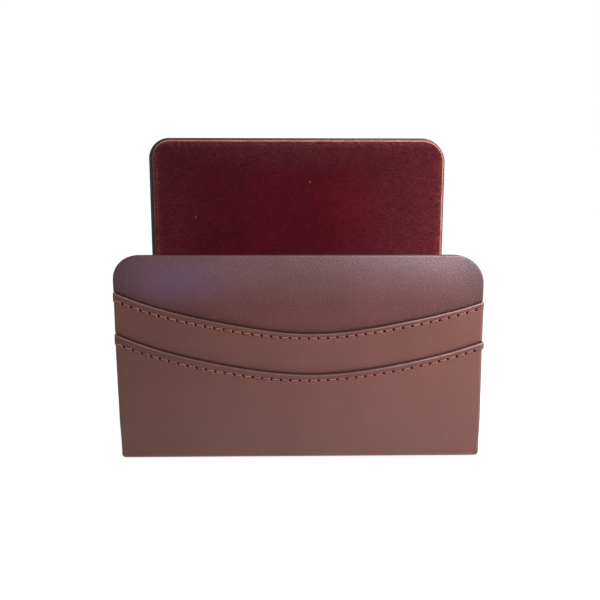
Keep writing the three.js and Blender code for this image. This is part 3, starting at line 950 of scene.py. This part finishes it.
def pocket_columns():
    """Places across a pocket, close together round each needle hole and in the bends."""
    places = [lerp(a, b, share) for a, b in zip(HOLES, HOLES[1:]) for share in BETWEEN_HOLES]
    places.append(HOLES[-1])
    wrap = spread(BEND_X, SIDE_START, 7) + spread(SIDE_START, REAR_START, 6)[1:]
    wrap += spread(REAR_START, REAR_FLAT, 7)[1:] + spread(REAR_FLAT, REAR_FLAT + REAR_RUN, 3)[1:]
    for q in wrap:
        for side in (-1, 1):
            if all(abs(side * q - place) > CROWDED for place in places):
                places.append(side * q)
    return sorted(places)


FOLD = 0.32  # height over which a mouth's folded edge rounds off
BEAD = 0.52  # width of the ridge along a mouth
BEAD_ROWS = (-0.1, 0, 0.1, 0.22)  # places of the rows round the ridge's lower side
SEAM_ROWS = (  # and of those round the seam, close together where the needle holes are
    -0.62, -0.48, -0.37, -0.27, -0.17, -0.07, 0.03, 0.13, 0.23, 0.34, 0.46, 0.62, 0.8, 1, 1.2, 1.45, 1.8,
)
HOLE_RADIUS = 0.47
HOLE_DEEP = 0.8
HOLE_DOWN = 0.12  # the holes sit this far below the line of the stitches
CREASE = 0.09  # depth of the crease under the ridge
HEM_ENDS = (0.6, 1.4)  # the hem gets as thin as the rest over these distances below the seam
BAND_ENDS = (-0.5, 0.6)  # and its tint fades over these
CUT_WAVERS = 0.05
THINNEST = 0.2  # leather that is left at the bottom of a needle hole
SWAY = 0.1  # unevenness of the leather's lie


def hem_rows(pocket, q):
    """Rows from the mouth's fold down past the seam: distance below the mouth, and where the outer and inner
    sides lie, as shares of the hem's thickness."""
    rows = []
    for angle in spread(0, math.pi / 2, 5):
        reach = 0.5 * math.sin(angle)
        rows.append((FOLD * (1 - math.cos(angle)), 0.5 + reach, 0.5 - reach))
    rows += [(BEAD + step, 1.0, 0.0) for step in BEAD_ROWS]
    seam = pocket.seam_at(q)
    rows.append((lerp(BEAD + BEAD_ROWS[-1], seam + SEAM_ROWS[0], 0.5), 1.0, 0.0))
    rows += [(seam + offset, 1.0, 0.0) for offset in SEAM_ROWS]
    return rows


PUCKER = 0.09  # how far the leather is pulled in between the holes, and along the whole seam
GROOVE = 0.12


def seam_dip(q, off):
    """How far the leather is pulled in round the stitches, and how far inside a needle hole this is. off is
    the distance below the seam."""
    nearest = min(OPEN_HOLES, key=lambda hole: abs(hole - q))
    slope = math.cos(math.asin((max(-HALF, min(HALF, q)) - MOUTH_LOW_X) / MOUTH_RADIUS))
    along = (q - nearest) / slope
    hole = math.exp(-((math.hypot(along, off - HOLE_DOWN) / HOLE_RADIUS) ** 4))
    ends = 1 - smoothstep(abs(q), OPEN_HOLES[-1] + 1, BEND_X + 1)
    pucker = PUCKER * bump(along, 0, 1.1) * bump(off, 0, 0.9)
    groove = GROOVE * bump(off, 0, 0.45)
    return HOLE_DEEP * hole + (pucker + groove) * ends, hole


class Sheet:
    """The two sides of a pocket's leather, row by row from the mouth down, and the marks for its material."""

    def __init__(self, pocket):
        self.pocket = pocket
        self.columns = pocket_columns()
        self.rows = 0
        self.outer = []
        self.inner = []
        self.marks = {"wear_and_highlight": [], "hole": [], "hem": []}

    def add(self, place, out, z, far, near, wear_and_highlight=0.0, hole=0.0, hem=0.0, z_near=None):
        """A point pair: far and near are the distances of the outer and inner points from the place."""
        self.outer.append((place.x + out.x * far, place.y + out.y * far, z))
        self.inner.append((place.x + out.x * near, place.y + out.y * near, z if z_near is None else z_near))
        for values, value in zip(self.marks.values(), (wear_and_highlight, hole, hem)):
            values.append(value)

    def sway(self, q, z):
        """Slight unevenness of the leather's lie, none at the sides."""
        seed = self.pocket.low
        uneven = SWAY * wobble(q, z, seed, 26) + SWAY / 3 * wobble(q, z, seed + 40, 9)
        return uneven * (1 - smoothstep(abs(q), 70, 80))

    def add_hem(self):
        pocket = self.pocket
        hem = [hem_rows(pocket, q) for q in self.columns]
        for row in range(len(hem[0])):
            for q, rows in zip(self.columns, hem):
                distance, out_share, in_share = rows[row]
                off = distance - pocket.seam_at(q)
                z = pocket.below(q, distance) + CUT_WAVERS * wobble(q, 0, pocket.low, 17)
                place, out = section(pocket, q, z)
                folded = 1 - smoothstep(abs(q), SIDE_START + 1, REAR_START)
                flare = pocket.flare * smoothstep(q, BEND_X - 10, BEND_X + 1)
                extra = (HEM_EXTRA + flare) * folded * (1 - smoothstep(off, *HEM_ENDS))
                crease = CREASE * bump(distance, BEAD + 0.1, 0.16)
                thick = LEATHER + extra - crease * folded
                dip, hole = seam_dip(q, off)
                far = max(out_share * thick - dip, THINNEST if out_share > 0.6 else 0)
                drift = self.sway(q, z)
                # painted highlight along the ridge of the mouth's fold
                ridge_glint = ridge_highlight(q) * bump(distance, 0.15, 0.22) * folded
                worn_and_highlit = max(ridge_glint, bend_wear_and_highlight(q))
                band = folded * (1 - smoothstep(off, *BAND_ENDS))
                self.add(place, out, z, far + drift, in_share * thick + drift, worn_and_highlit, hole, band)
        self.rows += len(hem[0])

    def add_body(self, ends):
        """Rows from the hem down to the height that ends gives at q."""
        shares = [f * f * (3 - 2 * f) * 0.3 + f * 0.7 for f in spread(0, 1, 18)[1:]]
        for share in shares:
            for q in self.columns:
                start = self.pocket.below(q, self.pocket.seam_at(q) + SEAM_ROWS[-1])
                z = lerp(start, ends(q), share)
                place, out = section(self.pocket, q, z)
                drift = self.sway(q, z)
                self.add(place, out, z, LEATHER + drift, drift, bend_wear_and_highlight(q))
        self.rows += len(shares)

    def add_foot(self):
        """Rows from the base's top down, round the bottom edge and back under the base."""
        start = UNDERSIDE + FOOT_BEND
        inside = FOOT_BEND - LEATHER
        rows = [(z, z, LEATHER, 0, 0, 0) for z in FOOT_ROWS]
        for angle in spread(0, math.pi / 2, 7)[1:]:
            down = math.sin(angle)
            out = math.cos(angle)
            far = FOOT_BEND * out - inside
            near = inside * out - inside
            wear_and_highlight = FOOT_HIGHLIGHT * math.sin(2 * angle)
            rows.append((start - FOOT_BEND * down, start - inside * down, far, near, 0, wear_and_highlight))
        rows += [(UNDERSIDE, UNDERSIDE + LEATHER, -inside, -inside, run, 0) for run in UNDER_ROWS]
        for z, z_near, far, near, run, wear_and_highlight in rows:
            for q in self.columns:
                place, out = section(self.pocket, q, max(z, start))
                if abs(q) <= BEND_X:
                    place += Vector((0, run))
                self.add(place, out, z, far, near, wear_and_highlight, z_near=z_near)
        self.rows += len(rows)

    def kept(self, face):
        """Leaves out the side folds where the base is, and all but the front's leather under the base."""
        width = len(self.columns)
        wraps = [abs(self.columns[i % width]) for i in face]
        heights = [self.outer[i][2] for i in face]
        if max(wraps) > REAR_START + CLOSE and max(heights) <= BASE_TOP + ABOVE_BASE + 0.01:
            return False
        first_under = len(self.outer) - len(UNDER_ROWS) * width
        in_front = max(wraps) <= BEND_X + CLOSE
        return in_front or max(heights) > UNDERSIDE + CLOSE or max(face) < first_under

    def mesh(self):
        faces = [face for face in grid_faces(self.rows, len(self.columns)) if self.kept(face)]
        return skin(self.outer, self.inner, faces, self.marks)


def ridge_highlight(q):
    """A painted highlight along the mouths' folded edges, most of all towards their ends."""
    return 0.25 + 0.75 * smoothstep(q, 15, 75) + 0.25 * smoothstep(-q, 45, 80)


def bend_wear_and_highlight(q):
    """The leather is a little lighter where it bends round the side edges: a little scuffed, with a painted
    highlight on the bend.
    """
    into = (abs(q) - BEND_X) / BEND_ARC
    return 0.15 * math.sin(max(0, min(1, into)) * math.pi)


FOOT_BEND = 1.7
# painted highlight across the foot's rounded bottom edge
FOOT_HIGHLIGHT = 0.12
ABOVE_BASE = 0.2  # the side folds stop this far above the base
FOOT_ROWS = (4.4, UNDERSIDE + FOOT_BEND)
UNDER_ROWS = (0.6, 2, 4, 4.6, 9)  # how far back under the base the rows there are
UPPER_TUCK = 0.6  # width over which the upper pocket's lower edge rises to its height at the sides


def build_upper_pocket():
    """It goes down to its floor behind the lower pocket; at the sides it stops at the lower one's mouth."""

    def ends(q):
        side = lower.below(math.copysign(HALF, q), 0) + BUTT
        return lerp(upper_low[2], side, smoothstep(abs(q), BEND_X - UPPER_TUCK, BEND_X))

    sheet = Sheet(upper)
    sheet.add_hem()
    sheet.add_body(ends)
    make_piece("upper_pocket_leather", "upper_card_pocket", sheet.mesh(), pocket_leather)


def build_lower_pocket():
    sheet = Sheet(lower)
    sheet.add_hem()
    sheet.add_body(lambda q: BASE_TOP + ABOVE_BASE)
    sheet.add_foot()
    make_piece("lower_pocket_leather", "lower_card_pocket", sheet.mesh(), pocket_leather)


# ---- Threads ----
PLIES = 3
PLY_OFFSET = 0.1  # middle of the cord to middle of a ply
PLY_RADIUS = 0.125
PLY_SIDES = 7
TWIST = 1.15  # length of one turn of the plies
TILT = 0.17  # how far the stitches tilt across the seam
ARCH = 0.1  # how far they bow out
BOBBIN_DEPTH = -0.25  # where the bobbin thread's stitches lie, measured from the leather's inner side
RISE = (0.62, 1.0)  # distance past a hole over which the thread comes up out of the leather
DIVE = (0.78, 0.4)  # distance before the next hole over which it goes down


def stitch_path(pocket, in_front, rng):
    """Places along a lockstitch thread, with the direction that faces out and how deep it is in a hole."""
    dive = [STITCH_PITCH - before for before in DIVE]
    stops = spread(0, RISE[0], 2)[:-1] + spread(*RISE, 5)[:-1] + spread(RISE[1], dive[0], 10)[:-1]
    stops += spread(*dive, 5)
    hem = LEATHER + HEM_EXTRA
    path = []
    for a, b in zip(HOLES, HOLES[1:]):
        tilt = TILT * rng.uniform(0.6, 1.4)
        lift = rng.uniform(-0.03, 0.04)
        for stop in stops:
            share = stop / STITCH_PITCH
            q = lerp(a, b, share)
            sunk = 1 - smoothstep(stop, *RISE) + smoothstep(stop, *dive)
            z = pocket.below(q, pocket.seam_at(q) + tilt * (1 - 2 * share) * (1 - sunk))
            place, out = section(pocket, q, z)
            over = hem + lift if in_front else BOBBIN_DEPTH
            arch = ARCH * math.sin(math.pi * share) * (1 if in_front else -0.3)
            height = lerp(over, hem / 2 + (0.05 if in_front else -0.15), sunk) + arch
            path.append((Vector((place.x + out.x * height, place.y + out.y * height, z)), out, sunk))
    return path


def build_thread(name, node, pocket, in_front, seed):
    """Three plies twisted round each other along the stitches."""
    path = stitch_path(pocket, in_front, random.Random(seed))
    rings = []
    length = 0.0
    for i, (place, out, sunk) in enumerate(path):
        before = path[max(i - 1, 0)][0]
        after = path[min(i + 1, len(path) - 1)][0]
        along = (after - before).normalized()
        across = along.cross(Vector((out.x, out.y, 0))).normalized()
        up = across.cross(along).normalized()
        if i:
            length += (place - path[i - 1][0]).length
        rings.append((place, across, up, length, sunk))
    points = []
    faces = []
    deep = []
    for ply in range(PLIES):
        start = len(points)
        for place, across, up, run, sunk in rings:
            turn = (run / TWIST + ply / PLIES) * 2 * math.pi
            middle = place + (across * math.cos(turn) + up * math.sin(turn)) * PLY_OFFSET
            for k in range(PLY_SIDES):
                angle = turn + k / PLY_SIDES * 2 * math.pi
                points.append(middle + (across * math.cos(angle) + up * math.sin(angle)) * PLY_RADIUS)
                deep.append(sunk)
        for r in range(len(rings) - 1):
            for k in range(PLY_SIDES):
                a = start + r * PLY_SIDES + k
                b = start + r * PLY_SIDES + (k + 1) % PLY_SIDES
                faces.append((a, b, b + PLY_SIDES, a + PLY_SIDES))
        faces.append(tuple(start + k for k in reversed(range(PLY_SIDES))))
        faces.append(tuple(len(points) - PLY_SIDES + k for k in range(PLY_SIDES)))
    make_piece(name, node, (points, faces, {"hole": deep}), stitch_thread, sharp=80)


def build_threads():
    build_thread("upper_needle_stitches", "upper_needle_thread", upper, in_front=True, seed=3)
    build_thread("lower_needle_stitches", "lower_needle_thread", lower, in_front=True, seed=5)
    build_thread("upper_bobbin_stitches", "upper_bobbin_thread", upper, in_front=False, seed=7)
    build_thread("lower_bobbin_stitches", "lower_bobbin_thread", lower, in_front=False, seed=9)


build_front_facing()
build_body_cover()
build_linings()
build_pad()
build_upper_pocket()
build_lower_pocket()
build_threads()

for node in (
    "front_board", "back_board", "base_board", "front_corner_angle", "back_corner_angle",
    "front_infill_card", "back_infill_card", "base_infill_card",
):
    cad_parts[node].material_slots[0].material = grey_board


# ---- Floor, lights and camera ----
FLOOR_HALF = 20.0  # metres
FLOOR_GLOW = 0.26  # the lit table's own light on the holder, and what the camera sees of it
FLOOR_SEEN = 0.85
COOL = (0.85, 1.08, 1.4)  # the table's light is cool on the left and warm on the right
WARM = (1.0, 1.0, 0.98)
TINT_TURNS = (-0.15, 0.1)  # metres to the right over which the one turns into the other


def build_stage():
    """A plain white floor. To the camera it is lit up like the background, so that only the contact shadow
    shows."""
    points = [(x, y, 0.0) for y in (-FLOOR_HALF, FLOOR_HALF) for x in (-FLOOR_HALF, FLOOR_HALF)]
    mesh = bpy.data.meshes.new("floor")
    mesh.from_pydata(points, [], grid_faces(2, 2))
    s = Shader("floor_paper")
    to_camera = s.node("LightPath").outputs["Is Camera Ray"]
    glow = s.ramp(to_camera, 0, 1, FLOOR_GLOW, FLOOR_SEEN)
    tint = s.mix(s.ramp(s.axes()[0], *TINT_TURNS), COOL, WARM)
    tint = s.mix(to_camera, tint, (1.0, 1.0, 1.0))
    paper = {"Base_Color": (0.9, 0.9, 0.9), "Roughness": 0.9, "Specular_IOR_Level": 0.0}
    mesh.materials.append(s.finish(**paper, Emission_Color=tint, Emission_Strength=glow))
    floor = bpy.data.objects.new("floor", mesh)
    bpy.context.scene.collection.objects.link(floor)


def add_light(name, place, target, size, watts, tint):
    data = bpy.data.lights.new(name, "AREA")
    data.shape = "RECTANGLE"
    data.size, data.size_y = size
    data.energy = watts
    data.color = tint
    light = bpy.data.objects.new(name, data)
    light.location = place
    light.rotation_euler = (Vector(target) - Vector(place)).to_track_quat("-Z", "Y").to_euler()
    bpy.context.scene.collection.objects.link(light)


ROOM = (0.2, 0.192, 0.186)  # what the room's walls give off


def build_world():
    """White where the camera sees it; as a light, dim and even."""
    world = bpy.data.worlds.new("studio")
    world.use_nodes = True
    tree = world.node_tree
    seen = tree.nodes.new("ShaderNodeMix")
    seen.data_type = "RGBA"
    seen.inputs[6].default_value = (*ROOM, 1)
    seen.inputs[7].default_value = (1, 1, 1, 1)
    tree.links.new(tree.nodes.new("ShaderNodeLightPath").outputs["Is Camera Ray"], seen.inputs[0])
    tree.links.new(seen.outputs[2], tree.nodes["Background"].inputs["Color"])
    bpy.context.scene.world = world


def build_lights():
    middle = (0, -0.04, 0.07)
    add_light("key", (0.16, -0.16, 0.22), middle, (0.12, 0.12), 1.02, (1.0, 0.96, 0.93))
    add_light("side", (0.25, -0.22, 0.06), middle, (0.12, 0.12), 0.18, (1.0, 0.96, 0.93))
    add_light("sky", (0.15, -0.1, 1.1), middle, (1.0, 1.0), 0.4, (0.75, 0.87, 1.0))


CAMERA_BACK = 266.1  # camera to the plane of the front leather
CAMERA_HEIGHT = 111.3
CAMERA_LEFT = 4.4
CAMERA_DOWN = 7.91  # degrees
CAMERA_TURN = 0.97  # degrees to the right


def build_camera():
    data = bpy.data.cameras.new("camera")
    data.lens = 36
    data.sensor_width = 36
    data.clip_start = 0.01
    camera = bpy.data.objects.new("camera", data)
    camera.location = (-CAMERA_LEFT * MM, (FRONT_FACE - CAMERA_BACK) * MM, CAMERA_HEIGHT * MM)
    camera.rotation_euler = (math.radians(90 - CAMERA_DOWN), 0, math.radians(-CAMERA_TURN))
    bpy.context.scene.collection.objects.link(camera)
    bpy.context.scene.camera = camera


build_stage()
build_world()
build_lights()
build_camera()
bpy.context.scene.view_settings.view_transform = "Standard"
